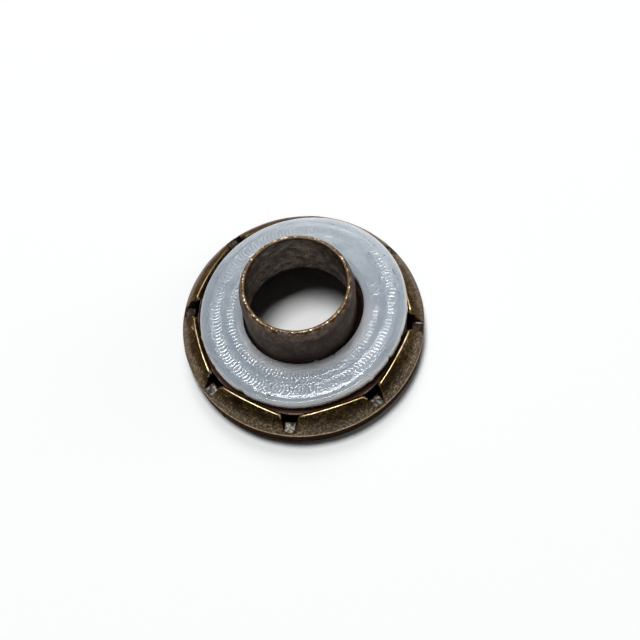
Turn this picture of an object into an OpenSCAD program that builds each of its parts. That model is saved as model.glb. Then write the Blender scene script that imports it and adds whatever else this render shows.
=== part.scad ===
// Lacing eyelet with a crimped face ring and a loose plastic washer.
// It lies face down: the domed face is at the bottom, the barrel points up (+Z).
// The origin is on the barrel's axis, at the plane that the face stands on. All sizes are in mm.

/* [Face ring] */
// Diameter across the rim
ring_d = 22; // [18:0.5:26]
// Height of the rim's edge above the plane that the face stands on
rim_h = 1.9; // [1:0.02:2.2]
// Diameter of the circle that the face stands on
crown_d = 17.4; // [16:0.1:18]
// How square the corner between face and rim is, where 2 is an ellipse
rim_square = 6; // [2:0.5:8]
// Height of the face's inner edge, where the flange is seated
dome_h = 2.88; // [2.2:0.02:3.4]
// Thickness of the domed face
dome_wall = 0.4; // [0.25:0.05:0.6]
// Width of the solid rim around the pocket for the flange
rim_wall = 1.14; // [0.9:0.02:1.4]
// Gap between the face's inner edge and the start of the flange's flat underside
mouth_gap = 0.07; // [0.02:0.01:0.2]

/* [Crimped lugs] */
// Number of lugs
lug_count = 8; // [6:1:10]
// Bearing of the first slot, from +X
first_slot = 31.15; // [0:0.05:45]
// Height of a lug's ridge above the back of the flange
lug_over = 0.63; // [0.5:0.01:0.9]
// How far in from the rim the crown of the lug's curve lies
lug_run = 2.4; // [2.2:0.05:2.8]
// How full the lug's outer side is, where 2 is an ellipse and 1 is a flat slope
lug_full = 1.25; // [1.2:0.05:2]
// How far a lug's lip reaches over the flange
lug_grip = 0.28; // [0.15:0.01:0.4]
// Width of the lip's sloping inner face, seen from above
lip_slope = 0.33; // [0.2:0.01:0.5]
// Radius of the bowed ridge line, seen from above
bow_r = 24; // [16:0.5:40]
// Clearance between the lips and the back of the flange
lip_gap = 0.03; // [0.01:0.01:0.1]

/* [Slots between the lugs] */
// Width of the slot at its floor
slot_w = 0.92; // [0.6:0.02:1.4]
// Lean of the slot's end walls from the vertical, in degrees
slot_lean = 15; // [8:1:30]
// Height of the slot's floor above the rim's edge
slot_step = 0.34; // [0.2:0.02:0.7]

/* [Barrel and flange] */
// Outside diameter of the barrel
barrel_d = 10; // [8:0.1:11]
// Length of the barrel above the back of the flange
barrel_l = 6.37; // [4:0.05:9]
// Thickness of the sheet
sheet = 0.27; // [0.2:0.01:0.35]
// Radius of the flare between barrel and flange
flare_r = 0.75; // [0.5:0.05:0.9]
// Length of the neck that is drawn in below the cut edge
neck_l = 1.3; // [0.8:0.05:1.8]
// How far the cut edge is drawn in from the barrel's outside
neck_in = 0.38; // [0.2:0.01:0.5]
// Clearance around the flange in its pocket
flange_gap = 0.43; // [0.3:0.01:0.6]

/* [Plastic washer] */
// Thickness of the washer
washer_t = 1; // [0.6:0.05:1.5]
// Mean clearance between the washer's hole and the barrel
washer_play = 0.4; // [0.35:0.01:0.7]
// How far inside the ridge line the washer's mean outer radius is
washer_inset = 0.28; // [0.25:0.01:0.6]
// Share by which the soft washer is longer than round along its slide, and narrower across
washer_oval = 0.023; // [0:0.001:0.03]
// How far the washer has slid off centre
washer_slide = 0.29; // [0.2:0.01:0.35]
// Bearing in which it has slid and sits raised on the lugs
washer_bearing = 31.15; // [0:0.05:45]
// Rounding of the washer's upper outer edge
washer_round = 0.15; // [0.1:0.05:0.45]
// Bevel of the washer's lower outer edge
washer_bevel = 0.1; // [0.05:0.01:0.2]
// Width of the smooth border around the hole
hole_border = 0.45; // [0.2:0.05:0.8]
// Width of the smooth border inside the outer edge
rim_border = 0.62; // [0.5:0.02:1]
// Height of the patterned field above its smooth borders
field_step = 0.03; // [0.02:0.01:0.1]
// Clearance where the washer rests
rest_gap = 0.02; // [0.01:0.01:0.05]

/* [Hidden] */
// Facets of full turns and steps along each curve of a section
turn_fn = 120;
curve_steps = 12;
// How far a cutter runs past what it cuts
past = 1;

ring_r = ring_d / 2;
crown_r = crown_d / 2;
barrel_r = barrel_d / 2;
bore_r = barrel_r - sheet;
lug_pitch = 360 / lug_count;

// Flange, seated on the inner edge of the face
flange_bottom = dome_h;
flange_top = flange_bottom + sheet;
pocket_r = ring_r - rim_wall;
flange_r = pocket_r - flange_gap;
mouth_r = bore_r + flare_r + mouth_gap;

// Lugs, folded over the flange
lip_z = flange_top + lip_gap;
ridge_r = flange_r - lug_grip + lip_slope;
ridge_z = flange_top + lug_over;
lug_crown_r = ring_r - lug_run;
lug_h = (ridge_z - rim_h) / lug_share(ridge_r);
slot_floor = rim_h + slot_step;

// Barrel
barrel_top = flange_top + barrel_l;
neck_z = barrel_top - neck_l;
neck_r = (pow(neck_l, 2) + pow(neck_in, 2)) / (2 * neck_in);

// Washer at rest: the edge of its hole on the flare, its far side on two ridges
washer_r = ridge_r - washer_inset;
washer_hole_r = barrel_r + washer_play;
near_r = washer_hole_r * (1 + washer_oval) - washer_slide;
flare_reach = max(0, barrel_r + flare_r - near_r);
near_z = flange_top + flare_r - sqrt(pow(flare_r, 2) - pow(flare_reach, 2));
far_r = ridge_r * cos(lug_pitch / 2);
washer_tilt = atan2(ridge_z - near_z, far_r + near_r);
washer_z = near_z + rest_gap + near_r * tan(washer_tilt);

// Points of an arc about c from bearing a to bearing b
function arc(c, r, a, b, n = curve_steps) =
    [for (i = [0:n]) let (t = a + (b - a) * i / n) c + r * [cos(t), sin(t)]];

// Points of a quarter ellipse about c, with half axes h and v, from bearing a to bearing b
function ellipse(c, h, v, a, b, n = curve_steps) =
    [for (i = [0:n]) let (t = a + (b - a) * i / n) c + [h * cos(t), v * sin(t)]];

// Height of the face outside its crown
function face_z(r) =
    rim_h * (1 - pow(1 - pow((r - crown_r) / (ring_r - crown_r), rim_square), 1 / rim_square));

// Points of the face from its crown to the rim, closer together towards the rim
function face_out(n = curve_steps) =
    [for (i = [1:n]) let (t = 90 * i / n, power = 2 / rim_square)
        [crown_r + (ring_r - crown_r) * pow(sin(t), power), rim_h * (1 - pow(cos(t), power))]];

// Height of the lug's outer side at radius r, as a share of its height at its crown
function lug_share(r) = pow(1 - pow((r - lug_crown_r) / lug_run, lug_full), 1 / lug_full);

// Points of the lug's outer side, closer together towards the rim
function lug_out(n = curve_steps) =
    [for (i = [n - 1:-1:1])
        let (r = lug_crown_r + lug_run * sin(90 * i / n)) [r, rim_h + lug_h * lug_share(r)]];

// Section of the face ring with its lugs, before the slots and the bowed ridges are cut
module ring_section() {
    crown = [crown_r, dome_h];
    half_w = crown_r - mouth_r;
    polygon(concat(
        ellipse(crown, half_w, dome_h, 180, 270),
        face_out(),
        lug_out(),
        [[lug_crown_r, rim_h + lug_h], [lug_crown_r, lip_z]],
        [[pocket_r, lip_z]],
        [for (i = [curve_steps:-1:1])
            let (r = crown_r + (pocket_r - crown_r) * i / curve_steps) [r, face_z(r) + dome_wall]],
        ellipse(crown, half_w - dome_wall, dome_h - dome_wall, 270, 180)
    ));
}

// Space inside the bowed ridge lines: one large cone a lug, and what they share
module ridge_opening() {
    rise = ridge_z - lip_z + past;
    grow = lip_slope * rise / (ridge_z - lip_z);
    foot_r = bow_r - lip_slope;
    intersection_for (k = [0:lug_count - 1])
        rotate([0, 0, first_slot + (k + 0.5) * lug_pitch])
            translate([ridge_r - bow_r, 0, lip_z])
                cylinder(h = rise, r1 = foot_r, r2 = foot_r + grow, $fn = turn_fn);
}

// One slot: a wedge that opens upwards
module slot_cut() {
    h = ridge_z - slot_floor + past;
    spread = h * tan(slot_lean);
    inner = lug_crown_r - past;
    translate([inner, 0, slot_floor])
        rotate([90, 0, 90])
            linear_extrude(ring_r - inner + past)
                polygon([
                    [-slot_w / 2, 0],
                    [slot_w / 2, 0],
                    [slot_w / 2 + spread, h],
                    [-slot_w / 2 - spread, h]
                ]);
}

// Face ring with the slots cut, before the ridge lines
module slotted_ring() {
    difference() {
        rotate_extrude($fn = turn_fn) ring_section();
        for (k = [0:lug_count - 1])
            rotate([0, 0, first_slot + k * lug_pitch]) slot_cut();
    }
}

module face_ring() {
    color([0.42, 0.35, 0.23])
        difference() {
            slotted_ring();
            ridge_opening();
        }
}

module barrel_flange() {
    bend = flange_top + flare_r;
    inner_bend = flange_bottom + flare_r;
    color([0.33, 0.29, 0.25])
        rotate_extrude($fn = turn_fn)
            polygon(concat(
                [[flange_r, flange_bottom], [flange_r, flange_top]],
                arc([barrel_r + flare_r, bend], flare_r, 270, 180),
                arc([barrel_r - neck_r, neck_z], neck_r, 0, asin(neck_l / neck_r)),
                arc([bore_r - neck_r, neck_z], neck_r, asin(neck_l / neck_r), 0),
                arc([bore_r + flare_r, inner_bend], flare_r, 180, 270)
            ));
}

module plastic_washer() {
    edge = washer_t - field_step;
    color([0.68, 0.72, 0.75])
        rotate([0, 0, washer_bearing])
            translate([0, 0, washer_z])
                rotate([0, -washer_tilt, 0])
                    translate([washer_slide, 0, 0])
                        scale([1 + washer_oval, 1 - washer_oval, 1])
                            rotate_extrude($fn = turn_fn)
                                polygon(concat(
                                    [[washer_hole_r, 0], [washer_r - washer_bevel, 0]],
                                    [[washer_r, washer_bevel]],
                                    arc([washer_r - washer_round, edge - washer_round],
                                        washer_round, 0, 90, 6),
                                    [[washer_r - rim_border, edge]],
                                    [[washer_r - rim_border - field_step, washer_t]],
                                    [[washer_hole_r + hole_border + field_step, washer_t]],
                                    [[washer_hole_r + hole_border, edge]],
                                    [[washer_hole_r, edge]]
                                ));
}

face_ring();
barrel_flange();
plastic_washer();
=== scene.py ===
# %% [markdown]
# # A lacing eyelet, lying on its face
#
# Three loose pieces make up this eyelet. A thin brass ring, domed like a saucer, is the face that
# shows on the finished cloth. Its rim is cut into eight lugs that are folded over the flange of a
# short brass barrel. A milky plastic washer has been dropped over the barrel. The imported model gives
# the place and the size of each one, and this lesson dresses them as they look on a white table.

# %% Load the frame
import math

import bmesh
import bpy
from mathutils import Matrix, Vector, noise


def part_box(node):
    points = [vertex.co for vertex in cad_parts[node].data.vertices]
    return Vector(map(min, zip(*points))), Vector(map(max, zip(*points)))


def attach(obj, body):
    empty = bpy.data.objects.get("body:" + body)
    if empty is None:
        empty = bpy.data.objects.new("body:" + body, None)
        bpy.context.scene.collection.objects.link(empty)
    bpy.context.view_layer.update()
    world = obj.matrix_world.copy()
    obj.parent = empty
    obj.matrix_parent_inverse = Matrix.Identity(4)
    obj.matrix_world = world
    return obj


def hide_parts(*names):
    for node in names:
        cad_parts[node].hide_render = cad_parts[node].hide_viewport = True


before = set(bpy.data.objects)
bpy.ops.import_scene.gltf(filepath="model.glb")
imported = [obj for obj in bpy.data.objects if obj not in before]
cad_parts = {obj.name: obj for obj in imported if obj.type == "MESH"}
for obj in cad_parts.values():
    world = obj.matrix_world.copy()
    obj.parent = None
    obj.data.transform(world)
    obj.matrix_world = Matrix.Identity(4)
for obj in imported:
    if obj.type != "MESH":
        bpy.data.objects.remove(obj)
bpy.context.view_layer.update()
MM = 0.001

# %% [markdown]
# ## The camera
#
# The photograph looks down on the eyelet from close by, tipped a little to one side. A camera could
# be placed by eye, but ellipses give it away: how round each circle looks fixes how steep the view is,
# and how much the near side grows fixes the distance. So the view is kept as those few values, and
# the camera's three axes are worked out from them.

# %% Camera
# The fitted view: its height and roll, its distance and shift in mm, and a lens in mm
VIEW_ELEVATION = math.radians(64.625)
VIEW_ROLL = math.radians(9.03)
VIEW_DISTANCE = 99.71
VIEW_SHIFT = (-1.563, -0.042)
AIM_HEIGHT = 2.1
LENS = 61.875

steep, level = math.sin(VIEW_ELEVATION), math.cos(VIEW_ELEVATION)
tip_sin, tip_cos = math.sin(VIEW_ROLL), math.cos(VIEW_ROLL)
right = Vector((tip_cos, -tip_sin * steep, -tip_sin * level))
up = Vector((tip_sin, tip_cos * steep, tip_cos * level))
forward = Vector((0, level, -steep))

camera = bpy.data.objects.new("camera", bpy.data.cameras.new("camera"))
bpy.context.scene.collection.objects.link(camera)
camera.data.lens = LENS
camera.data.clip_start = 0.005
camera.data.clip_end = 5
turn = Matrix((right, up, -forward)).transposed().to_4x4()
stand = Vector((0, 0, AIM_HEIGHT)) - right * VIEW_SHIFT[0] - up * VIEW_SHIFT[1] - forward * VIEW_DISTANCE
camera.matrix_world = Matrix.Translation(stand * MM) @ turn
bpy.context.scene.camera = camera
print("camera stands at", [round(v, 1) for v in stand], "mm")

# %% [markdown]
# ## Helpers for materials
#
# Colours are written as the hex values that a paint program shows, and one function turns them into
# the linear light that Blender mixes. A second one adds a node, its settings and its links in one
# call and hands back the output that is wanted, so that each finish below reads as a short list of what
# is mixed with what.

# %% Colour and node helpers
def linear(code):
    """Linear RGBA of a hex colour such as 8a7b5c."""
    parts = [int(code[i : i + 2], 16) / 255 for i in (0, 2, 4)]
    return [v / 12.92 if v <= 0.04045 else ((v + 0.055) / 1.055) ** 2.4 for v in parts] + [1]


def add(material, kind, out=0, settings=None, **inputs):
    """Adds a node and gives one of its outputs. Inputs are values, hex colours, or sockets to link.

    An input is named by its label with _ for a space, or as n3 for the one at place 3.
    """
    node = material.node_tree.nodes.new("ShaderNode" + kind)
    for name, value in (settings or {}).items():
        setattr(node, name, value)
    for name, value in inputs.items():
        by_place = name[0] == "n" and name[1:].isdigit()
        socket = node.inputs[int(name[1:]) if by_place else name.replace("_", " ")]
        if isinstance(value, bpy.types.NodeSocket):
            material.node_tree.links.new(value, socket)
        else:
            socket.default_value = linear(value) if isinstance(value, str) else value
    return node.outputs[out]


def blank(name):
    """A material with no nodes but its output."""
    material = bpy.data.materials.new(name)
    material.use_nodes = True
    material.node_tree.nodes.clear()
    return material, material.node_tree.nodes.new("ShaderNodeOutputMaterial")


# %% [markdown]
# ## Table
#
# The eyelet was photographed on white card: pressed paper with no gloss, so the eye gets an even white
# that shows only the shadow. The card could be lit until it is white, but then the pale washer would
# bleach too. Here the lamps stay at a plain level and the card's own colour makes it white.

# %% Table
CARD, CARD_HALF = "fcfdfd", 0.6

table, table_out = blank("white_card")
shader = add(table, "BsdfPrincipled", Base_Color=CARD, Roughness=0.9, Specular_IOR_Level=0.1)
table.node_tree.links.new(shader, table_out.inputs["Surface"])
bm = bmesh.new()
bmesh.ops.create_grid(bm, x_segments=1, y_segments=1, size=CARD_HALF)
mesh = bpy.data.meshes.new("table")
bm.to_mesh(mesh)
bm.free()
mesh.materials.append(table)
table_top = bpy.data.objects.new("table", mesh)
bpy.context.scene.collection.objects.link(table_top)
print("card of", 2 * CARD_HALF, "m")

# %% [markdown]
# ## Light
#
# In the photograph the light comes from a tent, nearly from straight above. One even sky would leave no
# highlights, so four soft lamps stand in for it. The high one gives the washer its tone and the card
# its shadow, and the one behind it puts the gleam on the far rim and the barrel's wall. A wide one on
# the right keeps that side from going black. The low one in front lights the washer's near edge, and is
# so low that it doesn't reach into the bore.

# %% Light
TENT, TENT_STRENGTH, LAMP_AWAY = "fafcff", 0.02, 1.6

scene = bpy.context.scene
scene.view_settings.view_transform = "Standard"
world = bpy.data.worlds.new("light_tent")
scene.world = world
world.use_nodes = True
world.node_tree.nodes["Background"].inputs["Color"].default_value = linear(TENT)
world.node_tree.nodes["Background"].inputs["Strength"].default_value = TENT_STRENGTH


def softbox(name, bearing, height, size, power):
    """A square lamp of that size in metres, aimed at the eyelet from a bearing and height in degrees."""
    lamp = bpy.data.lights.new(name, "AREA")
    lamp.size = size
    lamp.energy = power
    holder = bpy.data.objects.new(name, lamp)
    bpy.context.scene.collection.objects.link(holder)
    a, h = math.radians(bearing), math.radians(height)
    away = Vector((math.cos(a) * math.cos(h), math.sin(a) * math.cos(h), math.sin(h)))
    holder.location = away * LAMP_AWAY
    holder.rotation_mode = "QUATERNION"
    holder.rotation_quaternion = away.to_track_quat("Z", "Y")


softbox("high_key", bearing=110, height=80, size=0.42, power=18.9)
softbox("behind", bearing=82, height=53, size=0.62, power=7.5)
softbox("side_fill", bearing=5, height=25, size=1.0, power=2.7)
softbox("front_fill", bearing=-100, height=9, size=0.4, power=0.6)

# %% [markdown]
# ## The face ring
#
# On the real eyelet this is one stamping: a shallow dome with a hole, whose rim turns up and over into
# eight lugs. It could be cut with booleans, but those leave edges that can't be rounded well, and the
# rounded, worn edges are what catches the light. One eighth of it is really all there is to draw, and
# half of that eighth mirrors the other half. So flat grids are laid out for half an eighth, and each
# grid point is moved to its place on the ring. The half is mirrored and then spun round eight times.

# %% Sizes of the face ring, in mm
ring_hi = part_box("face_ring")[1] / MM
ring_r = ring_hi.x
rim_h, crown_r, rim_square = 1.9, 8.7, 6
dome_h, dome_wall, mouth_r, pocket_r = 2.88, 0.4, 5.55, 9.86
lug_count, first_slot = 8, math.radians(31.15)
lug_run, lug_full, lip_z, lip_slope = 2.4, 1.25, 3.18, 0.33
ridge_r, ridge_z, bow_r = 9.48, 3.78, 24
slot_half, slot_lean, slot_floor = 0.46, math.radians(15), 2.24
corner_round, lip_round = 0.22, 0.15
half_pitch = math.pi / lug_count
lug_crown_r = ring_r - lug_run


def lug_share(r):
    """Height of the lug's outer side at radius r, as a share of its height at its crown."""
    return max(0, 1 - ((r - lug_crown_r) / lug_run) ** lug_full) ** (1 / lug_full)


lug_h = (ridge_z - rim_h) / lug_share(ridge_r)


def flank_z(r):
    """Height of the rim and of the lugs' outer side at radius r."""
    return rim_h + lug_h * lug_share(r)


def face_z(r):
    """Height of the face between its crown and the rim."""
    part = max(0, (r - crown_r) / (ring_r - crown_r))
    return rim_h * (1 - (1 - min(1, part) ** rim_square) ** (1 / rim_square))


slot_outer_r = lug_crown_r + lug_run * (1 - ((slot_floor - rim_h) / lug_h) ** lug_full) ** (1 / lug_full)
print("a slot's floor ends at radius", round(slot_outer_r, 2), "mm")


# %% Helpers for the ring's grids
# Points closer than this, in mm, are one point
NEAR = 0.002


def measure(bm, what):
    """Prints whether a mesh is closed, and how large it is."""
    open_edges = sum(1 for e in bm.edges if not e.is_manifold)
    print(what, "open edges", open_edges, "faces", len(bm.faces), "volume", round(bm.calc_volume(), 1))


def wall_offset(z):
    """How far a slot's leaning wall stands from the slot's middle plane at height z."""
    return slot_half + max(0, z - slot_floor) * math.tan(slot_lean)


def laid(bm, columns, rows, place):
    """A grid of columns by rows cells, each point moved to place(column, row)."""
    grid = bmesh.ops.create_grid(bm, x_segments=columns, y_segments=rows, size=1)
    for v in grid["verts"]:
        column, row = round((v.co.x + 1) / 2 * columns), round((v.co.y + 1) / 2 * rows)
        v.co = place(column, row)


def polar(r, angle, z):
    """A point at this distance and bearing from the axis, and at height z."""
    return Vector((r * math.cos(angle), r * math.sin(angle), z))


# %% How a half eighth is divided
SLOT_STEPS, LUG_STEPS, FLOOR_STEPS, EDGE_STEPS = 4, 14, 5, 6
FLANK_STEPS, SLOPE_STEPS = 9, 4
LUG_ROWS = FLANK_STEPS + SLOPE_STEPS + 3


def bearing_at(column, r, z):
    """Angle from the slot's middle: the first columns cross the slot, the rest run along the lug."""
    wall = math.asin(wall_offset(z) / r)
    if column <= SLOT_STEPS:
        return wall * column / SLOT_STEPS
    along = (column - SLOT_STEPS) / LUG_STEPS
    return wall + (half_pitch - wall) * along**1.15


def face_r(z):
    """Radius of the rounded corner between face and rim at height z."""
    return crown_r + (ring_r - crown_r) * (1 - (1 - z / rim_h) ** rim_square) ** (1 / rim_square)


def quarter(count):
    """Angles of a quarter turn, first to last."""
    return [math.pi / 2 * i / count for i in range(count + 1)]


# %% Section of the dome, the pocket and the rim
half_w = crown_r - mouth_r
pocket_floor = [(r, face_z(r) + dome_wall) for r in (pocket_r, 9.6, 9.3, 9.0, crown_r)]
dome_inside = [
    (crown_r - (half_w - dome_wall) * math.sin(a), dome_h - (dome_h - dome_wall) * math.cos(a))
    for a in quarter(14)[1:]
]
dome_outside = [(crown_r - half_w * math.sin(a), dome_h - dome_h * math.cos(a)) for a in quarter(16)[::-1]]
face_flat = [(9.3, face_z(9.3)), (9.9, face_z(9.9))]
wall_heights = (0.02, 0.05, 0.1, 0.18, 0.3, 0.45, 0.62, 0.82, 1.02, 1.22, 1.42, 1.6, 1.74, 1.83)
rim_wall = [(face_r(z), z) for z in wall_heights]
edge_radii = [ring_r - (ring_r - slot_outer_r) * (i / EDGE_STEPS) ** 2 for i in range(EDGE_STEPS + 1)]
rim_edge = [(r, flank_z(r)) for r in edge_radii]
body = [(pocket_r, slot_floor)] + pocket_floor + dome_inside + dome_outside + face_flat + rim_wall + rim_edge
print("points in the ring's section:", len(body))



# %% A lug
# Where the distance from a slot's wall is measured, halfway up the lug
LUG_MID_R, LUG_MID_Z = 9.6, 3.5


def ridge_at(angle):
    """Radius of the bowed ridge line at this angle from the slot's middle."""
    off = half_pitch - angle
    centre = ridge_r - bow_r
    return centre * math.cos(off) + math.sqrt(bow_r**2 - (centre * math.sin(off)) ** 2)


def corner_at(s, radius):
    """How far a rounded corner takes the ridge outwards, s from the slot's wall."""
    return radius - math.sqrt(radius**2 - (radius - min(s, radius)) ** 2)


def lug_point(column, row):
    """A point of the lug: up its flank to the ridge, down the slope to the lip, back to the pocket."""
    column += SLOT_STEPS
    angle = bearing_at(column, LUG_MID_R, LUG_MID_Z)
    s = LUG_MID_R * (angle - math.asin(wall_offset(LUG_MID_Z) / LUG_MID_R))
    top_r = ridge_at(angle) + corner_at(s, corner_round)
    lip_r = ridge_at(angle) - lip_slope + corner_at(s, lip_round)
    if row <= FLANK_STEPS:
        share = row / FLANK_STEPS
        r = slot_outer_r + (top_r - slot_outer_r) * share
        z = flank_z(r)
    elif row <= FLANK_STEPS + SLOPE_STEPS:
        share = (row - FLANK_STEPS) / SLOPE_STEPS
        r = top_r + (lip_r - top_r) * share
        z = flank_z(top_r) + (lip_z - flank_z(top_r)) * share
    elif row == FLANK_STEPS + SLOPE_STEPS + 1:
        r, z = (lip_r + pocket_r) / 2, lip_z
    elif row == FLANK_STEPS + SLOPE_STEPS + 2:
        r, z = pocket_r, lip_z
    else:
        r, z = pocket_r, slot_floor
    return polar(r, bearing_at(column, r, z), z)


def body_point(column, row):
    """A point of the dome, the pocket or the rim."""
    r, z = body[row]
    return polar(r, bearing_at(column, r, z), z)


def floor_point(column, row):
    """A point of a slot's floor."""
    r = slot_outer_r + (pocket_r - slot_outer_r) * row / FLOOR_STEPS
    return polar(r, bearing_at(column, r, slot_floor), slot_floor)


def on_wall(v):
    """Whether a point lies on a slot's leaning wall."""
    in_plane = abs(v.co.y - wall_offset(v.co.z)) < NEAR
    return v.co.z > slot_floor - NEAR / 2 and in_plane and v.co.x > 8


# %% The half eighth, laid and closed
bm = bmesh.new()
laid(bm, SLOT_STEPS + LUG_STEPS, len(body) - 1, body_point)
laid(bm, LUG_STEPS, LUG_ROWS, lug_point)
laid(bm, SLOT_STEPS, FLOOR_STEPS, floor_point)
bmesh.ops.remove_doubles(bm, verts=bm.verts, dist=NEAR)
wall_edges = [e for e in bm.edges if e.is_boundary and all(on_wall(v) for v in e.verts)]
made = bmesh.ops.contextual_create(bm, geom=wall_edges)
print("wall edges:", len(wall_edges), "faces made:", len(made["faces"]))

# %% The whole ring from its half eighth
bmesh.ops.mirror(bm, geom=bm.verts[:] + bm.edges[:] + bm.faces[:], axis="Y", merge_dist=NEAR)
bmesh.ops.remove_doubles(bm, verts=bm.verts, dist=NEAR)
bmesh.ops.spin(
    bm,
    geom=bm.verts[:] + bm.edges[:] + bm.faces[:],
    cent=(0, 0, 0),
    axis=(0, 0, 1),
    angle=2 * math.pi * (lug_count - 1) / lug_count,
    steps=lug_count - 1,
    use_duplicate=True,
)
bmesh.ops.remove_doubles(bm, verts=bm.verts, dist=2 * NEAR)
bmesh.ops.recalc_face_normals(bm, faces=bm.faces)
measure(bm, "ring:")

# %% [markdown]
# ### Worn edges, painted highlights and painted shade
#
# Antiqued brass is plated, darkened all over and then rubbed, so its colour tells where a cloth could
# reach: gold along the ridges and a dull brown on the bulge of the rim. Light and shade are painted into
# the colour as well: a painted highlight along the rim's edge, a painted sheen on the lugs at the right
# and beside the ridges, and painted shade under the rim, in the pocket and on the slots' walls. Noise
# alone can't know where these go. So the sharp edges are bevelled first, and then each place is marked on
# the mesh as an attribute that the finish reads. Points carry the ridge, the rubbed bulge with its sheen,
# the highlight line along the rim's edge and the shaded wall under it. Faces carry the shaded recess, the
# shaded slots' walls, and the slots' floors with how bare each was rubbed.

# %% Marks on the ring
ridge_mark = bm.verts.layers.float.new("ridge")
rubbed_and_sheen_mark = bm.verts.layers.float.new("rubbed_and_sheen")
rim_highlight_mark = bm.verts.layers.float.new("rim")
under_shade_mark = bm.verts.layers.float.new("under")
recess_shade_mark = bm.faces.layers.float.new("recess")
wall_shade_mark = bm.faces.layers.float.new("wall")
floor_mark = bm.faces.layers.float.new("floor")
bare_mark = bm.faces.layers.float.new("bare")

# %% Worn edges
WORN_W, RIDGE_ZONE = 0.11, 0.5


def is_sharp(e, degrees=30):
    """Whether two faces meet at an edge by more than this angle."""
    return len(e.link_faces) == 2 and e.calc_face_angle() > math.radians(degrees)


sharp = [e for e in bm.edges if is_sharp(e) and max(v.co.z for v in e.verts) > slot_floor + 0.02]
made = bmesh.ops.bevel(
    bm, geom=sharp, offset=WORN_W, offset_type="OFFSET", affect="EDGES", segments=4, profile=0.5,
    material=-1,
)
# The ridges are worn, and those near the camera are painted brighter as a highlight; the corners of the slots
# are hardly worn
for face in made["faces"]:
    for v in face.verts:
        wear_and_near_highlight = 0.6 - 0.38 * math.sin(math.atan2(v.co.y, v.co.x) + first_slot)
        v[ridge_mark] = wear_and_near_highlight if v.co.z > ridge_z - RIDGE_ZONE else 0.04 + 0.2 * (v.co.z - slot_floor)
bmesh.ops.recalc_face_normals(bm, faces=bm.faces)
print("sharp edges:", len(sharp), "faces on them:", len(made["faces"]))


# %% Where a point is, and smooth steps
def radius_of(v):
    """Distance of a point from the axis."""
    return math.hypot(v.co.x, v.co.y)


def from_slot(point):
    """How far a point is from the middle plane of the nearest slot."""
    angle = math.atan2(point.y, point.x) % (2 * half_pitch)
    return math.hypot(point.x, point.y) * math.sin(min(angle, 2 * half_pitch - angle))


def ramp(value, low, high):
    """0 below low, 1 above high, smooth between."""
    part = min(1, max(0, (value - low) / (high - low)))
    return part * part * (3 - 2 * part)


# %% The rubbed bulge and its painted sheen, the rim's painted highlight and the painted shade under it
# The bulge is rubbed from about 10.4 mm outwards, with a ragged edge that starts further out beside a
# slot. The lugs at the right get more of the rubbed tone as a painted sheen. A groove that runs round
# above the rim stays dull.
BULGE_R, BY_SLOT, BY_SLOT_W = 10.4, 0.2, 0.6
RIGHT_SHEEN_AT, RIGHT_SHEEN_SHARE, GROOVE_SHARE = 0.5, 0.45, 0.45
RIGHT_SHEEN_FROM, UNDER_SHADE_FROM, RIM_FROM = 9.55, 9.4, 9.9

for v in bm.verts:
    off, r, above = from_slot(v.co), radius_of(v), v.co.z - rim_h
    ragged = 0.18 * noise.noise(v.co * 1.3) + 0.12 * noise.noise(v.co * 4.1)
    start = BULGE_R + BY_SLOT * math.exp(-(((off - BY_SLOT_W) / BY_SLOT_W) ** 2)) + ragged
    # A painted sheen on the lugs at the right, laid on as more of the rubbed tone
    right_sheen = max(0, math.cos(math.atan2(v.co.y, v.co.x) + first_slot - RIGHT_SHEEN_AT)) ** 3
    groove = ramp(above, 0.08, 0.16) * (1 - ramp(above, 0.24, 0.5))
    painted_right_sheen = RIGHT_SHEEN_SHARE * right_sheen * ramp(r, RIGHT_SHEEN_FROM, RIM_FROM)
    rubbed_and_sheen = max(ramp(r, start - 0.35, start + 0.3), painted_right_sheen)
    v[rubbed_and_sheen_mark] = rubbed_and_sheen * ramp(above, -0.04, 0.02) * (1 - GROOVE_SHARE * groove)
    # A thin line along the rim's edge is a painted highlight
    v[rim_highlight_mark] = ramp(above, -0.09, -0.02) * (1 - ramp(above, 0.04, 0.12))
    # The wall under the rim's edge gets painted shade
    v[under_shade_mark] = (1 - ramp(above, -0.12, -0.01)) * ramp(r, UNDER_SHADE_FROM, RIM_FROM)
print("rubbed points:", sum(1 for v in bm.verts if v[rubbed_and_sheen_mark] > 0.5), "of", len(bm.verts))

# %% The slots and the recess
# How bare each slot's floor was rubbed, counted from the first slot
SLOT_BARE = [0.3, 0.4, 0.2, 0.15, 0.85, 1, 0.6, 0.08]

for face in bm.faces:
    middle = face.calc_center_median()
    r = math.hypot(middle.x, middle.y)
    in_slot = from_slot(middle) < wall_offset(middle.z) + 0.03
    in_ring = pocket_r - 0.05 < r < slot_outer_r + 0.01
    if in_slot and in_ring and middle.z < slot_floor + 0.01 and face.normal.z > 0.5:
        count = round(math.atan2(middle.y, middle.x) / (2 * half_pitch)) % lug_count
        face[floor_mark] = 1
        face[bare_mark] = SLOT_BARE[count]
    # The slots' walls are marked for painted shade
    elif abs(from_slot(middle) - wall_offset(middle.z)) < 0.03 and in_ring and abs(face.normal.z) < 0.4:
        face[wall_shade_mark] = 1
    # The recess under the lugs' lips is marked for painted shade
    if r < pocket_r + 0.01 and middle.z < lip_z + 0.01 and middle.z > 0.3 and face.normal.z < 0.9:
        face[recess_shade_mark] = 1
measure(bm, "ring after the bevel:")

# %% Small unevenness of the stamping
UNEVEN = 0.018

for v in bm.verts:
    swell = noise.noise(v.co * 0.6 + Vector((3, 0, 0))) + 0.4 * noise.noise(v.co * 2.3)
    lift = ramp(v.co.z, 0.8, 2.0)
    v.co += v.normal * UNEVEN * swell * lift
measure(bm, "uneven ring:")


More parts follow.
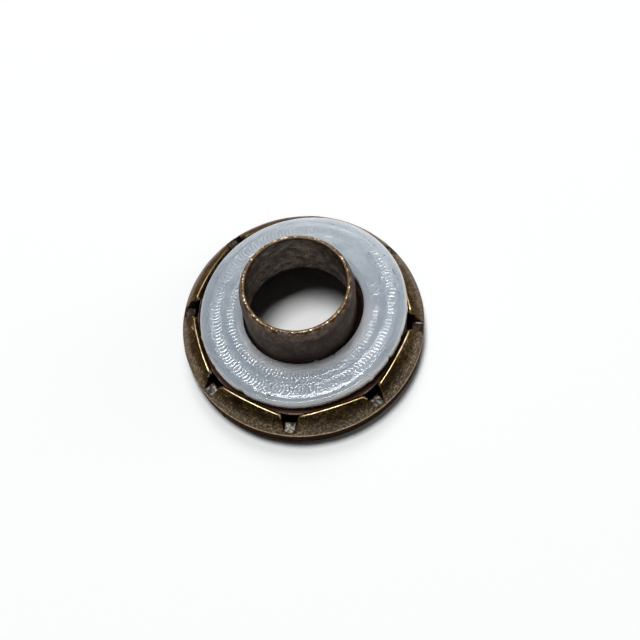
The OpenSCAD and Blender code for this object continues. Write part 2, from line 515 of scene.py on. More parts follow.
# %% How a mesh becomes a piece
def finished(bm, name, material, node):
    """Turns a mesh in mm into a piece in metres that stands for a CAD node."""
    bmesh.ops.scale(bm, vec=(MM, MM, MM), verts=bm.verts)
    for face in bm.faces:
        face.smooth = True
    mesh = bpy.data.meshes.new(name)
    bm.to_mesh(mesh)
    bm.free()
    mesh.materials.append(material)
    piece = bpy.data.objects.new(name, mesh)
    bpy.context.scene.collection.objects.link(piece)
    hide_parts(node)
    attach(piece, "root")
    print(name, len(mesh.polygons), "faces")


# %% [markdown]
# ### Antiqued brass of the ring
#
# The real surface is brass plate that was blackened in a bath, tumbled with grit, and lacquered. What
# the eye gets is a metal whose colour runs from dark olive to pale gold: blotches of about 1 mm from the
# bath, and a fine pitting from the tumbling. A photo of such brass could be wrapped round, but it would
# not know where this ring was rubbed. So each pattern is a noise in millimetres, and coats of colour are
# laid over each other from the bottom up, each where a mark or a pattern says. Some coats are painted
# light and shade: the highlight along the rim's edge, the sheen on the right lugs and beside the ridges,
# and the shade under the rim, in the pocket and on the slots' walls. Lacquer gives the shine. It shows
# little on the olive and more where the bulge was rubbed smooth, and there is none under the rim or in
# the slots.

# %% Colours of the ring
# The rim line is a painted highlight, the colour beside the ridge is partly a painted sheen, and the colours
# under the rim, of the recess and of the slots' walls are painted shade
OLIVE_DARK, OLIVE_LIGHT, RUBBED_DARK, RUBBED_LIGHT = "342513", "7e6539", "392c1e", "8c795c"
EDGE_GOLD, EDGE_PALE, NEAR_RIDGE_WEAR_AND_SHEEN, RIM_HIGHLIGHT = "b8955a", "ecdcb4", "6c5020", "cabda8"
UNDER_SHADE_DARK, UNDER_SHADE_LIGHT, RECESS_SHADE, WALL_SHADE = "221f1b", "433f38", "140e0d", "33261e"
BARE_DARK, BARE_LIGHT, SPECK, GRAZED, FLOOR = "383431", "99928a", "a8957a", "b8a48a", "241812"

# Middle, turn, half size and colour of a groove, a bare spot and a knock on lugs, and a line in a slot
SCUFFS = [
    ((7.74, -7.04, 2.72), (0, -0.25, 1.04), (0.95, 0.06, 0.4), "1e1610"),
    ((6.05, -7.47, 3.66), (0, 0.66, -0.38), (0.24, 0.16, 0.3), "c48c74"),
    ((-9.81, 0.27, 3.46), (0, -0.42, -1.12), (0.4, 0.08, 0.3), "d8c8a0"),
    ((10.35, -2.12, 2.24), (0, 0, -0.24), (0.42, 0.07, 0.2), "e0d8d0"),
]

# %% Patterns and marks of the ring
RGBA, TIMES = {"data_type": "RGBA"}, {"operation": "MULTIPLY"}
SMOOTH = {"interpolation_type": "SMOOTHSTEP"}
PER_MM = (1 / MM, 1 / MM, 1 / MM)

# Grain in mm, detail, roughness, the span of noise used and what it becomes. Tumbling grit leaves pits
# of about 0.05 mm. A pixel of the render is about 0.09 mm, so the grit is drawn at 0.2 mm to show.
RING_PATTERNS = {
    "blotch": (1.0, 4, 0.6, 0.35, 0.68, 0, 1),
    "grit": (0.2, 2, 0.7, 0.3, 0.72, 0, 1),
    "specks": (0.2, 1, 0.6, 0.55, 0.65, 0, 1),
    "bare_grain": (0.24, 2, 0.6, 0.38, 0.62, 0, 1),
    "edge_grain": (0.5, 3, 0.6, 0.35, 0.65, 0, 1),
    "ridge_wear": (0.9, 3, 0.6, 0.25, 0.5, 0.55, 1),
    "rough": (0.35, 3, 0.6, 0.3, 0.7, 0.36, 0.52),
}
ring_brass, ring_out = blank("antiqued_brass_ring")
in_metres = add(ring_brass, "TexCoord", "Object")
in_mm = add(ring_brass, "Mapping", n0=in_metres, Scale=PER_MM)
ring = {}
for name, (size, detail, harsh, low, high, to_low, to_high) in RING_PATTERNS.items():
    grain = add(ring_brass, "TexNoise", Vector=in_mm, Scale=1 / size, Detail=detail, Roughness=harsh)
    ring[name] = add(ring_brass, "MapRange", 0, SMOOTH, n0=grain, n1=low, n2=high, n3=to_low, n4=to_high)
for name in ("ridge", "rubbed_and_sheen", "rim", "under", "recess", "wall", "floor", "bare"):
    ring[name] = add(ring_brass, "Attribute", "Fac", {"attribute_name": name})

# What is held back, what holds it back, and the share left where that is nothing and where it is full
RING_SHARES = {
    "rubbed_specks": ("specks", "blotch", 0.25, 0.75),
    "olive_specks": ("specks", "blotch", 0.05, 0.35),
    "rubbed_tone": ("rubbed_and_sheen", "grit", 0.55, 1),
    "rim_highlight_tone": ("rim", "grit", 0.4, 0.9),
    "free_ridge": ("ridge", "wall", 1, 0),
}
for name, (held, by, at_none, at_full) in RING_SHARES.items():
    left = add(ring_brass, "MapRange", 0, SMOOTH, n0=ring[by], n3=at_none, n4=at_full)
    ring[name] = add(ring_brass, "Math", 0, TIMES, n0=ring[held], n1=left)
ring["olive_tone"] = add(ring_brass, "Math", 0, TIMES, n0=ring["blotch"], n1=ring["grit"])
# Beside the ridges a golden band is partly worn brass and partly a painted sheen around the ridges' highlight
ring["by_ridge"] = add(ring_brass, "MapRange", 0, SMOOTH, n0=ring["free_ridge"], n2=0.5, n4=0.6)
on_ridge = add(ring_brass, "MapRange", 0, SMOOTH, n0=ring["free_ridge"], n1=0.2, n2=0.85)
ring["worn_ridge"] = add(ring_brass, "Math", 0, TIMES, n0=on_ridge, n1=ring["ridge_wear"])
print("patterns and marks of the ring:", len(ring))

# %% Coats of the ring, from the bottom up
coat = {}
for name, (share, dark, light) in {
    "olive": ("olive_tone", OLIVE_DARK, OLIVE_LIGHT),
    "rubbed_and_sheen": ("grit", RUBBED_DARK, RUBBED_LIGHT),
    "under": ("grit", UNDER_SHADE_DARK, UNDER_SHADE_LIGHT),
    "bare": ("bare_grain", BARE_DARK, BARE_LIGHT),
    "edge": ("edge_grain", EDGE_GOLD, EDGE_PALE),
}.items():
    coat[name] = add(ring_brass, "Mix", 2, RGBA, n0=ring[share], n6=dark, n7=light)
rubbed_and_sheen = add(ring_brass, "Mix", 2, RGBA, n0=ring["rubbed_specks"], n6=coat["rubbed_and_sheen"], n7=SPECK)
colour = coat["olive"]
# The rim's tone is a painted highlight; the under, recess and wall coats are painted shade; the coat by the
# ridge is partly a painted sheen
for name, tone in (
    ("olive_specks", SPECK),
    ("rubbed_tone", rubbed_and_sheen),
    ("rim_highlight_tone", RIM_HIGHLIGHT),
    ("under", coat["under"]),
    ("recess", RECESS_SHADE),
    ("wall", WALL_SHADE),
    ("floor", FLOOR),
    ("bare", coat["bare"]),
    ("by_ridge", NEAR_RIDGE_WEAR_AND_SHEEN),
    ("worn_ridge", coat["edge"]),
):
    colour = add(ring_brass, "Mix", 2, RGBA, n0=ring[name], n6=colour, n7=tone)
gritty = add(ring_brass, "MapRange", 0, SMOOTH, n0=ring["grit"], n3=0.5, n4=1)
for middle, turned, half_size, tone in SCUFFS:
    near = add(
        ring_brass, "Mapping", 0, {"vector_type": "TEXTURE"},
        n0=in_mm, Location=middle, Rotation=turned, Scale=half_size,
    )
    away = add(ring_brass, "VectorMath", "Value", {"operation": "LENGTH"}, n0=near)
    scuffed = add(ring_brass, "MapRange", 0, SMOOTH, n0=away, n1=0.6, n2=1.1, n3=0.9, n4=0)
    scuffed = add(ring_brass, "Math", 0, TIMES, n0=scuffed, n1=gritty)
    colour = add(ring_brass, "Mix", 2, RGBA, n0=scuffed, n6=colour, n7=tone)
print("coats:", len(coat), "scuffs:", len(SCUFFS))

# %% Shine of the ring
# Polished brass has a roughness near 0.1, and tumbling and the bath take it to about 0.4. The ridges are
# rubbed smoother than that, and the floors of the slots were never touched.
RIDGE_ROUGHNESS, FLOOR_ROUGHNESS = 0.3, 0.62
PIT_GRAIN, PIT_DEPTH = 0.18, 0.03 * MM

rough = add(ring_brass, "Mix", n0=ring["free_ridge"], n2=ring["rough"], n3=RIDGE_ROUGHNESS)
rough = add(ring_brass, "Mix", n0=ring["floor"], n2=rough, n3=FLOOR_ROUGHNESS)
lacquer = 1
for name, at_none, at_full in (("under", 1, 0), ("wall", 1, 0), ("floor", 1, 0), ("rubbed_and_sheen", 0.15, 0.6)):
    left = add(ring_brass, "MapRange", 0, SMOOTH, n0=ring[name], n3=at_none, n4=at_full)
    lacquer = add(ring_brass, "Math", 0, TIMES, n0=lacquer, n1=left)
pitted = add(ring_brass, "TexNoise", Vector=in_mm, Scale=1 / PIT_GRAIN, Detail=3, Roughness=0.65)
bump = add(ring_brass, "Bump", Strength=0.4, Distance=PIT_DEPTH, Height=pitted)
shader = add(
    ring_brass, "BsdfPrincipled", Base_Color=colour, Roughness=rough, Normal=bump, Metallic=1.0,
    Specular_Tint=GRAZED, Coat_Weight=lacquer, Coat_Roughness=0.3,
)
ring_brass.node_tree.links.new(shader, ring_out.inputs["Surface"])
bmesh.ops.rotate(bm, cent=(0, 0, 0), matrix=Matrix.Rotation(first_slot, 3, "Z"), verts=bm.verts)
finished(bm, "crimped_face_ring", ring_brass, "face_ring")

# %% [markdown]
# ## The barrel and its flange
#
# The barrel and the flange that the lugs hold are drawn from one disc of sheet, so there is no seam
# between them. A lathe shape is what spin is for: the sheet's section is drawn once and spun round. One
# full spin of this many steps is slow to merge, so a sixteenth is spun first and then copied round. The
# cut end is where the sheet was trimmed, and trimming leaves burrs, so its two edges are bevelled and
# its points are then pushed about by a few hundredths of a millimetre.

# %% Section of the barrel, in mm
flange_r, flange_bottom, flange_top = 9.43, 2.88, 3.15
barrel_r, bore_r, flare_r = 5.0, 4.73, 0.75
barrel_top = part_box("barrel_flange")[1].z / MM
neck_l, neck_in = 1.3, 0.38
neck_z = barrel_top - neck_l
neck_r = (neck_l**2 + neck_in**2) / (2 * neck_in)
neck_turn = math.asin(neck_l / neck_r)


def arc(centre, radius, start, end, count):
    """Points of an arc in the section's plane."""
    steps = [start + (end - start) * i / count for i in range(count + 1)]
    return [(centre[0] + radius * math.cos(a), centre[1] + radius * math.sin(a)) for a in steps]


def line(start, end, count):
    """Points between two points, both left out."""
    run, rise = end[0] - start[0], end[1] - start[1]
    return [(start[0] + run * i / count, start[1] + rise * i / count) for i in range(1, count)]


# Centres of the flare for the outer and the inner face of the sheet
flare_out = (barrel_r + flare_r, flange_top + flare_r)
flare_in = (bore_r + flare_r, flange_bottom + flare_r)
outside = [(flange_r, flange_bottom), (flange_r, flange_top)]
outside += line((flange_r, flange_top), (barrel_r + flare_r, flange_top), 8)
outside += arc(flare_out, flare_r, 1.5 * math.pi, math.pi, 10)
outside += line((barrel_r, flange_top + flare_r), (barrel_r, neck_z), 18)
outside += arc((barrel_r - neck_r, neck_z), neck_r, 0, neck_turn, 10)
inside = arc((bore_r - neck_r, neck_z), neck_r, neck_turn, 0, 10)
inside += line((bore_r, neck_z), (bore_r, flange_bottom + flare_r), 18)
inside += arc(flare_in, flare_r, math.pi, 1.5 * math.pi, 10)
inside += line((bore_r + flare_r, flange_bottom), (flange_r, flange_bottom), 6)
print("points in the barrel's section:", len(outside + inside))


def lathe(section, steps, sectors=16):
    """A closed section, in mm, spun a full turn: first one sector, then its copies, which is quicker."""
    bm = bmesh.new()
    points = [bm.verts.new((r, 0, z)) for r, z in section]
    edges = [bm.edges.new(pair) for pair in zip(points, points[1:] + points[:1])]
    about = {"cent": (0, 0, 0), "axis": (0, 0, 1)}
    sector = 2 * math.pi / sectors
    bmesh.ops.spin(bm, geom=points + edges, angle=sector, steps=steps // sectors, **about)
    whole = bm.verts[:] + bm.edges[:] + bm.faces[:]
    bmesh.ops.spin(bm, geom=whole, angle=2 * math.pi - sector, steps=sectors - 1, use_duplicate=True, **about)
    bmesh.ops.remove_doubles(bm, verts=bm.verts, dist=NEAR / 4)
    bmesh.ops.recalc_face_normals(bm, faces=bm.faces)
    return bm


# %% Barrel
CUT_BEVEL, BURR_REACH, WAVE, BURR, BURR_RISE = 0.05, 0.35, 0.010, 0.018, 0.022

bm = lathe(outside + inside, 256)
cut_edges = [e for e in bm.edges if e.calc_face_angle(0) > math.radians(35)]
bmesh.ops.bevel(
    bm, geom=cut_edges, offset=CUT_BEVEL, offset_type="OFFSET", affect="EDGES", segments=3,
    profile=0.5, material=-1,
)
for v in bm.verts:
    near_cut = max(0, 1 - (barrel_top - v.co.z) / BURR_REACH)
    wave = noise.noise(v.co * 0.35)
    burr = noise.noise(v.co * 4.5) + 0.6 * noise.noise(v.co * 11)
    swell = 1 + (WAVE * wave + BURR * near_cut * burr) / radius_of(v)
    v.co.x *= swell
    v.co.y *= swell
    v.co.z += BURR_RISE * near_cut * (burr - 0.6)
measure(bm, "barrel:")

# %% [markdown]
# ### Antiqued brass of the barrel
#
# The barrel is deep drawn brass sheet that was blackened in the same bath as the ring and hardly rubbed
# since. What the eye gets is a dull brown metal with clouds of about 2 mm from the bath and faint lines
# around it from drawing. It is redder on the flange, where its darkness is partly painted shade under
# the washer, and the flange's outer edge carries a painted highlight. It is warmer at the neck. The bore
# is mottled and holds a few hairline scratches. The end was trimmed after the bath, so it shows raw brass,
# pinkish and dark where the trimming tore it; pale flecks on it are painted glints, and its inner half is
# painted dark as shade. The sheet could carry one material for each of these places. Here one material
# finds them by height and by distance from the axis, so they run into each other as they do in the bath.

# %% Colours of the barrel
# The flange's red is partly painted shade, the flange's edge colour is a painted highlight, the cut's pale
# fleck colour is a painted glint, and the cut's dark colour is both tearing and painted shade
BARREL_DARK, BARREL_LIGHT, NECK_BROWN, FLANGE_RED_AND_SHADE = "3d302a", "80726a", "5f4826", "281812"
CUT_BRASS, CUT_PINK, CUT_TORN_AND_SHADE, CUT_GLINT, FLANGE_EDGE_HIGHLIGHT = "a68c56", "8a6a4c", "3f2d1a", "f4e6c4", "9a8a84"
SCRATCH, MOTTLE, BORE_DARK, BORE_LIGHT = "d8ccc0", "2a1f1a", "2a221e", "8a7d74"

# %% Patterns of the barrel
PLAIN, AROUND, BANDED = (1, 1, 1), (0.12, 0.12, 1.6), (0.8, 0.8, 1.1)

# Grain in mm, detail, roughness, squeeze along each axis, the span of noise used and what it becomes.
# The bath's fine grain is about 0.05 mm on the real sheet, and drawn at 0.22 mm so that it shows.
BARREL_PATTERNS = {
    "cloud": (2.2, 5, 0.6, PLAIN, 0.35, 0.65, 0, 1),
    "fine": (0.22, 3, 0.7, PLAIN, 0.32, 0.68, 0.1, 1),
    "drawn": (0.9, 3, 0.6, AROUND, 0.35, 0.65, 0.7, 1),
    "neck_spots": (1.1, 3, 0.6, PLAIN, 0.3, 0.6, 0.4, 1),
    "edge_spots": (0.6, 3, 0.6, PLAIN, 0.3, 0.6, 0, 1),
    "patches": (0.7, 5, 0.75, BANDED, 0.38, 0.66, 0, 1),
    "mottle": (0.45, 4, 0.7, PLAIN, 0.42, 0.62, 0, 0.7),
    "hair_stretch": (2.0, 2, 0.6, PLAIN, 0.5, 0.62, 0, 0.9),
    "pink": (0.7, 3, 0.6, PLAIN, 0.38, 0.62, 0, 1),
    "torn": (0.35, 3, 0.7, PLAIN, 0.42, 0.66, 0, 1),
    "cut_glint_flecks": (0.22, 1, 0.6, PLAIN, 0.58, 0.65, 0, 1),
    "rough": (0.8, 3, 0.6, PLAIN, 0.3, 0.7, 0.36, 0.5),
}
barrel_brass, barrel_out = blank("dark_antiqued_brass_barrel")
in_metres = add(barrel_brass, "TexCoord", "Object")
in_mm = add(barrel_brass, "Mapping", n0=in_metres, Scale=PER_MM)
barrel = {}
for name, (size, detail, harsh, squeeze, low, high, to_low, to_high) in BARREL_PATTERNS.items():
    where = add(barrel_brass, "VectorMath", 0, TIMES, n0=in_mm, n1=squeeze)
    grain = add(barrel_brass, "TexNoise", Vector=where, Scale=1 / size, Detail=detail, Roughness=harsh)
    barrel[name] = add(
        barrel_brass, "MapRange", 0, SMOOTH, n0=grain, n1=low, n2=high, n3=to_low, n4=to_high
    )

# %% Places on the barrel
flat = add(barrel_brass, "VectorMath", 0, TIMES, n0=in_mm, n1=(1, 1, 0))
reach = add(barrel_brass, "VectorMath", "Value", {"operation": "LENGTH"}, n0=flat)
height = add(barrel_brass, "SeparateXYZ", "Z", n0=in_mm)
cut_mid = barrel_r - neck_in - 0.1
# What each place is told by, in mm, where it starts and where it is reached in full
for name, (told_by, start, full) in {
    "neck": (height, barrel_top - 0.75, barrel_top - 0.25),
    "flange": (height, flange_top + 0.75, flange_top + 0.1),
    # The flange's outer edge gets a painted highlight
    "flange_edge": (reach, flange_r - 0.08, flange_r - 0.03),
    "bore": (reach, bore_r + 0.1, bore_r + 0.03),
    "cut": (height, barrel_top - 0.1, barrel_top - 0.03),
    # The cut's outer half is the lit side, and its inner half gets painted shade
    "cut_lit_outer": (reach, cut_mid - 0.05, cut_mid + 0.05),
    "low": (height, flange_top + 0.3, flange_top + 0.03),
}.items():
    barrel[name] = add(barrel_brass, "MapRange", 0, SMOOTH, n0=told_by, n1=start, n2=full)

# %% Hairlines, and what holds back what
# A hairline scratch runs where a large noise crosses its middle
HAIR_CURVE, HAIR_W = 1.6, 0.011

hair = add(barrel_brass, "TexNoise", Vector=in_mm, Scale=1 / HAIR_CURVE, Detail=4, Roughness=0.6)
hair = add(barrel_brass, "Math", 0, {"operation": "SUBTRACT"}, n0=hair, n1=0.5)
hair = add(barrel_brass, "Math", 0, {"operation": "ABSOLUTE"}, n0=hair)
barrel["hair"] = add(barrel_brass, "MapRange", 0, SMOOTH, n0=hair, n2=HAIR_W, n3=1, n4=0)
for name, parts in {
    "sheet_tone": ("cloud", "fine", "drawn"),
    "neck_tone": ("neck", "neck_spots"),
    "edge_highlight_tone": ("flange_edge", "edge_spots"),
    "scratches": ("hair", "hair_stretch", "bore"),
}.items():
    barrel[name] = barrel[parts[0]]
    for part in parts[1:]:
        barrel[name] = add(barrel_brass, "Math", 0, TIMES, n0=barrel[name], n1=barrel[part])
print("patterns and places of the barrel:", len(barrel))

# %% Finish of the barrel
# The drawn sheet is about as rough as the ring, and its flange a little rougher, with no lacquer on it
FLANGE_ROUGHNESS = 0.5
BATH_GRAIN, BATH_DEPTH = 0.3, 0.035 * MM

# Raw brass of the cut, dark where torn, with painted glints as pale flecks and painted shade on its inner
# half
raw = add(barrel_brass, "Mix", 2, RGBA, n0=barrel["pink"], n6=CUT_BRASS, n7=CUT_PINK)
raw = add(barrel_brass, "Mix", 2, RGBA, n0=barrel["torn"], n6=CUT_TORN_AND_SHADE, n7=raw)
raw = add(barrel_brass, "Mix", 2, RGBA, n0=barrel["cut_glint_flecks"], n6=raw, n7=CUT_GLINT)
raw = add(barrel_brass, "Mix", 2, RGBA, n0=barrel["cut_lit_outer"], n6=CUT_TORN_AND_SHADE, n7=raw)
bore_tone = add(barrel_brass, "Mix", 2, RGBA, n0=barrel["patches"], n6=BORE_DARK, n7=BORE_LIGHT)
colour = add(barrel_brass, "Mix", 2, RGBA, n0=barrel["sheet_tone"], n6=BARREL_DARK, n7=BARREL_LIGHT)
for name, tone in (
    ("neck_tone", NECK_BROWN),
    # The flange's dark red is partly its own tone and partly painted shade under the washer
    ("flange", FLANGE_RED_AND_SHADE),
    ("edge_highlight_tone", FLANGE_EDGE_HIGHLIGHT),
    ("bore", bore_tone),
    ("mottle", MOTTLE),
    ("scratches", SCRATCH),
    ("cut", raw),
):
    colour = add(barrel_brass, "Mix", 2, RGBA, n0=barrel[name], n6=colour, n7=tone)
rough = add(barrel_brass, "Mix", n0=barrel["low"], n2=barrel["rough"], n3=FLANGE_ROUGHNESS)
pitted = add(barrel_brass, "TexNoise", Vector=in_mm, Scale=1 / BATH_GRAIN, Detail=4, Roughness=0.65)
bump = add(barrel_brass, "Bump", Strength=0.5, Distance=BATH_DEPTH, Height=pitted)
metallic = add(barrel_brass, "MapRange", 0, SMOOTH, n0=barrel["low"], n3=0.6, n4=1)
lacquer = add(barrel_brass, "MapRange", 0, SMOOTH, n0=barrel["low"], n3=0.1, n4=0)
shader = add(
    barrel_brass, "BsdfPrincipled", Base_Color=colour, Roughness=rough, Normal=bump, Metallic=metallic,
    Specular_Tint=GRAZED, Coat_Weight=lacquer, Coat_Roughness=0.25,
)
barrel_brass.node_tree.links.new(shader, barrel_out.inputs["Surface"])
finished(bm, "rolled_barrel", barrel_brass, "barrel_flange")

# %% [markdown]
# ## The plastic washer
#
# The washer is moulded in a milky plastic, and its top carries a worked pattern: one row of small
# overlapping circles and, inside it, one row of short strokes. A bump map would fade at a low angle
# and is lost when the model is printed, so the pattern is real relief here. The section is spun in fine
# steps, and each point of the field is raised by a formula that knows how far it is from the nearest
# circle's line.

# %% Section of the washer, in mm and in its own plane
washer_r, hole_r, washer_t, field_step = 9.20, 5.40, 1.0, 0.03
hole_border, rim_border, edge_round, edge_bevel = 0.45, 0.62, 0.26, 0.1
hole_round, hole_bevel, field_slope, field_rows = 0.1, 0.06, 0.1, 60
washer_oval, washer_slide, washer_tilt, washer_z = 0.023, 0.29, math.radians(1.737), 3.5344
edge_z = washer_t - field_step
field_in, field_out = hole_r + hole_border + field_slope, washer_r - rim_border - field_slope
hole_top, round_z = edge_z - hole_round, edge_z - edge_round

section = [(hole_r + hole_bevel, 0), (hole_r, hole_bevel)]
section += line((hole_r, hole_bevel), (hole_r, hole_top), 3)
section += arc((hole_r + hole_round, hole_top), hole_round, math.pi, math.pi / 2, 5)
section += line((hole_r + hole_round, edge_z), (hole_r + hole_border, edge_z), 4)
section += [(hole_r + hole_border, edge_z), (field_in, washer_t)]
section += line((field_in, washer_t), (field_out, washer_t), field_rows)
section += [(field_out, washer_t), (washer_r - rim_border, edge_z)]
section += line((washer_r - rim_border, edge_z), (washer_r - edge_round, edge_z), 12)
section += arc((washer_r - edge_round, round_z), edge_round, math.pi / 2, 0, 7)
section += [(washer_r, (edge_bevel + round_z) / 2), (washer_r, edge_bevel), (washer_r - edge_bevel, 0)]
section += line((washer_r - edge_bevel, 0), (hole_r + hole_bevel, 0), 3)
print("points in the washer's section:", len(section))

# %% [markdown]
# ### The worked pattern
#
# On the real washer no two marks are alike: circles are deep here and faint there, and shift a little, as
# where a tool is pressed by hand. One circle repeated 150 times would look printed. So every mark gets
# its own press, size and place from a noise that drifts slowly along the row. The real depth can't be
# measured in the photograph. Here it is 0.033 mm, at which the lines glint as they do there.

# %% Marks of the pattern
CIRCLES, CIRCLE_RING, CIRCLE_R, LINE_W = 150, 7.83, 0.53, 0.043
STROKES, STROKE_RING, STROKE_HALF = 124, 6.51, 0.31
RELIEF, BEAD_R, BEAD_W = 0.033, 8.31, 0.04


def drift(k, pace, seed):
    """A value between about -0.5 and 0.5 that changes slowly from one mark to the next."""
    return noise.noise(Vector((k * pace, seed, 0.5)))


def press(k, base, slow, fast):
    """How hard mark k was pressed, at least 0.1, from a slow and a fast drift of strength, pace and seed."""
    return max(0.1, base + slow[0] * drift(k, *slow[1:]) + fast[0] * drift(k, *fast[1:]))


circle_press = [press(k, 0.62, (0.7, 0.11, 4.2), (0.35, 0.83, 7.7)) for k in range(CIRCLES)]
circle_size = [CIRCLE_R * (1 + 0.16 * drift(k, 0.71, 2.6)) for k in range(CIRCLES)]
circle_back = [max(0, 0.4 + 1.0 * drift(k, 0.07, 8.8)) for k in range(CIRCLES)]
circle_ring = [CIRCLE_RING + 0.12 * drift(k, 0.57, 5.9) for k in range(CIRCLES)]
stroke_press = [press(k, 0.6, (0.8, 0.17, 9.1), (0.4, 0.9, 1.3)) for k in range(STROKES)]
print("circles:", len(circle_press), "strokes:", len(stroke_press))


def profile_of(distance, width):
    """Rounded profile of a pressed line at this distance from its middle."""
    return math.exp(-((distance / width) ** 2)) if abs(distance) < 3 * width else 0


def pattern(r, angle):
    """Height of the relief at a point of the field, as a share of the deepest line."""
    pitch = 2 * math.pi / CIRCLES
    height = 0
    first = round(angle / pitch)
    for k in range(first - 2, first + 3):
        ring, size = circle_ring[k % CIRCLES], circle_size[k % CIRCLES]
        across = math.sqrt(r * r + ring**2 - 2 * r * ring * math.cos(angle - k * pitch))
        side = (angle - k * pitch) * r / size
        whole = 0.45 + 0.55 * side if side > 0 else 0.45 - (0.55 * circle_back[k % CIRCLES] - 0.2) * side
        weight = circle_press[k % CIRCLES] * max(0, whole)
        height = max(height, weight * profile_of(across - size, LINE_W))
    pitch = 2 * math.pi / STROKES
    k = round(angle / pitch)
    side = (angle - k * pitch) * r
    middle = STROKE_RING + 0.12 * drift(k % STROKES, 0.77, 3.3)
    ends = ramp(STROKE_HALF - abs(r - middle), 0, 0.12)
    bend = 0.6 * (r - middle) ** 2
    height = max(height, stroke_press[k % STROKES] * ends * profile_of(side - bend, LINE_W))
    bead = 0.12 + 0.7 * noise.noise(Vector((7 * math.cos(angle), 7 * math.sin(angle), 3)))
    bead += 0.9 * noise.noise(Vector((26 * math.cos(angle), 26 * math.sin(angle), 8)))
    return max(height, max(0, bead) * profile_of(r - BEAD_R, BEAD_W))


# %% Washer
NICK_REACH = 0.35
# Bearing on the washer, radius, width and depth of its nicks and burrs
NICKS = [
    (-98, 5.4, 0.12, 0.10), (-116, 5.4, 0.16, -0.12), (-73, 9.2, 0.15, -0.14), (-88, 9.2, 0.2, 0.08),
    (-164, 9.2, 0.35, -0.14), (155, 9.2, 0.2, 0.07), (174, 9.2, 0.14, -0.1), (-43, 9.2, 0.2, 0.06),
    (-59, 9.2, 0.15, -0.07),
]


def nick_pull(nick, r, angle):
    """How far a nick moves a point outwards; inwards where its depth is below zero."""
    at, radius, width, depth = nick
    away = math.remainder(angle - math.radians(at), 2 * math.pi) * r
    if abs(r - radius) > NICK_REACH or abs(away) > 3 * width:
        return 0
    return depth * math.exp(-((away / width) ** 2)) * (1 - abs(r - radius) / NICK_REACH)


bm = lathe(section, 928)
edge_light = bm.verts.layers.float.new("edge_light")
hole_fill_painted = bm.verts.layers.float.new("hole_fill_painted")
fill_light_painted = bm.verts.layers.float.new("fill_light_painted")
worked = bm.verts.layers.float.new("worked")
measure(bm, "spun washer:")

# %% Marks and relief of the washer
# The outer edge is painted paler as a glow. The border around the hole is painted paler as fill light,
# and a painted fill light brightens the near side around the barrel's foot, in the barrel's shade. The
# relief is raised on the field alone. The foot of the field's outer slope wanders a little, and the
# nicks pull at the edges.
GLOW_W, FILL_LIGHT_FULL, FILL_LIGHT_END = 0.25, 5.8, 6.7
FLOOR_SHARE, FOOT_WANDER = 0.3, 0.09

for v in bm.verts:
    r, angle = radius_of(v), math.atan2(v.co.y, v.co.x)
    # The outer edge is painted paler, as a glow
    v[edge_light] = ramp(r, washer_r - GLOW_W, washer_r - 0.02)
    v[worked] = ramp(r, field_in - 0.1, field_in + 0.1) * (1 - ramp(r, field_out - 0.1, field_out + 0.1))
    v[worked] *= 0.6 + 0.6 * max(0, math.sin(angle + first_slot)) ** 2
    # Painted fill light on the near side around the barrel's foot, in the barrel's shade
    v[fill_light_painted] = max(0, -math.sin(angle + first_slot)) * (1 - ramp(r, FILL_LIGHT_FULL, FILL_LIGHT_END))
    # The border around the hole is painted paler, as fill light in the barrel's shade
    v[hole_fill_painted] = 1 - ramp(r, hole_r + hole_border - 0.1, field_in + 0.15)
    pull = 0
    if field_in - 0.001 < r < field_out + 0.001 and v.co.z > washer_t - 0.01:
        grainy = 0.12 * noise.noise(v.co * 5) + 0.08 * noise.noise(v.co * 9)
        v.co.z += RELIEF * (pattern(r, angle) - FLOOR_SHARE + grainy)
    elif abs(r - (washer_r - rim_border)) < 0.001 and v.co.z > edge_z - 0.01:
        pull = FOOT_WANDER * noise.noise(v.co * 2.7)
    else:
        pull = sum(nick_pull(nick, r, angle) for nick in NICKS)
    v.co.x *= 1 + pull / r
    v.co.y *= 1 + pull / r
# Oval, slid, tilted, raised and turned, as it lies in the photograph
for step in (
    Matrix.Diagonal((1 + washer_oval, 1 - washer_oval, 1, 1)),
    Matrix.Translation((washer_slide, 0, 0)),
    Matrix.Rotation(-washer_tilt, 4, "Y"),
    Matrix.Translation((0, 0, washer_z)),
    Matrix.Rotation(first_slot, 4, "Z"),
):
    bmesh.ops.transform(bm, matrix=step, verts=bm.verts)
measure(bm, "washer:")

# %% [markdown]
# ### Moulded plastic of the washer
#
# The real washer is soft polyethylene, moulded against a polished tool whose shine it keeps. What the eye
# gets is a milky body that light enters and leaves a few millimetres on, with a glossy skin. It could be
# given a pale flat colour, but then its edge wouldn't glow. So all of its light goes through subsurface
# scattering, and the marks on the mesh add painted light to its tone: the outer edge is painted paler as
# a glow, and the border around the hole and the near side around the barrel's foot are painted paler as
# fill light in the barrel's shade. The worked field is a little rougher than the smooth borders, and the
# tool's own texture of about 0.15 mm breaks up its glints.

# %% Patterns and marks of the washer
# The edge colour is a painted glow; the hole colour and the lit colour are painted fill light in the barrel's
# shade
MILK_BLUE, MILK_PALE, MILK_EDGE_GLOW_PAINTED, MILK_HOLE_FILL, MILK_PAINTED_FILL = "9ca7b3", "a6b1bc", "f4f4ec", "b2bcc6", "f4f8fa"
# Polyethylene has an IOR of 1.51, and a glossy moulding of it a roughness near 0.1
BORDER_ROUGHNESS, POLYETHYLENE_IOR = 0.08, 1.51
TOOL_TEXTURE, TOOL_DEPTH = 0.15, 0.003 * MM
GLOW_REACH = 6.0 * MM

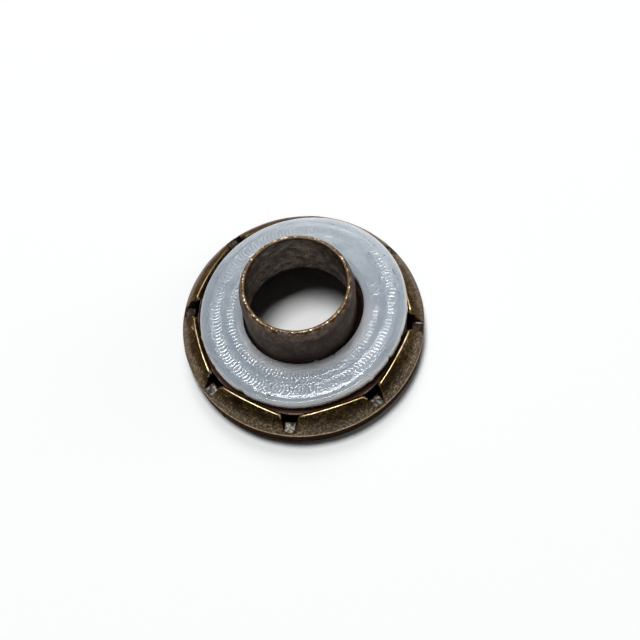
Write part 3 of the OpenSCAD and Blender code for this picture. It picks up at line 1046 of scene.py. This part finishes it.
washer_plastic, washer_out = blank("milky_moulded_polyethylene")
in_metres = add(washer_plastic, "TexCoord", "Object")
in_mm = add(washer_plastic, "Mapping", n0=in_metres, Scale=PER_MM)
washer = {}
for name, (size, detail, harsh, low, high, to_low, to_high) in {
    "cloud": (1.6, 3, 0.6, 0.35, 0.65, 0, 1),
    "rough": (0.5, 3, 0.6, 0.3, 0.7, 0.12, 0.2),
}.items():
    grain = add(washer_plastic, "TexNoise", Vector=in_mm, Scale=1 / size, Detail=detail, Roughness=harsh)
    washer[name] = add(
        washer_plastic, "MapRange", 0, SMOOTH, n0=grain, n1=low, n2=high, n3=to_low, n4=to_high
    )
for name in ("edge_light", "hole_fill_painted", "fill_light_painted", "worked"):
    washer[name] = add(washer_plastic, "Attribute", "Fac", {"attribute_name": name})

# %% Finish of the washer
# Red light goes a little further through milky plastic than blue
GLOW_TINT = (1.0, 0.95, 0.9)

colour = add(washer_plastic, "Mix", 2, RGBA, n0=washer["cloud"], n6=MILK_BLUE, n7=MILK_PALE)
# Painted glow on the edge, and painted fill light around the hole and on its near side
for name, tone in (("edge_light", MILK_EDGE_GLOW_PAINTED), ("hole_fill_painted", MILK_HOLE_FILL), ("fill_light_painted", MILK_PAINTED_FILL)):
    colour = add(washer_plastic, "Mix", 2, RGBA, n0=washer[name], n6=colour, n7=tone)
rough = add(washer_plastic, "Mix", n0=washer["worked"], n2=BORDER_ROUGHNESS, n3=washer["rough"])
shine = add(washer_plastic, "MapRange", 0, SMOOTH, n0=washer["worked"], n2=1.2, n3=0.22, n4=0.44)
dulled = add(washer_plastic, "MapRange", 0, SMOOTH, n0=washer["edge_light"], n2=0.4, n3=1, n4=0.35)
shine = add(washer_plastic, "Math", 0, TIMES, n0=shine, n1=dulled)
skin = add(washer_plastic, "TexNoise", Vector=in_mm, Scale=1 / TOOL_TEXTURE, Detail=3, Roughness=0.6)
bump = add(washer_plastic, "Bump", Strength=0.4, Distance=TOOL_DEPTH, Height=skin)
shader = add(
    washer_plastic, "BsdfPrincipled", Base_Color=colour, Roughness=rough, Normal=bump,
    Specular_IOR_Level=shine, IOR=POLYETHYLENE_IOR,
    Subsurface_Weight=1.0, Subsurface_Radius=GLOW_TINT, Subsurface_Scale=GLOW_REACH,
)
washer_plastic.node_tree.links.new(shader, washer_out.inputs["Surface"])
finished(bm, "ringed_washer", washer_plastic, "plastic_washer")

# %% Update the scene
bpy.context.view_layer.update()
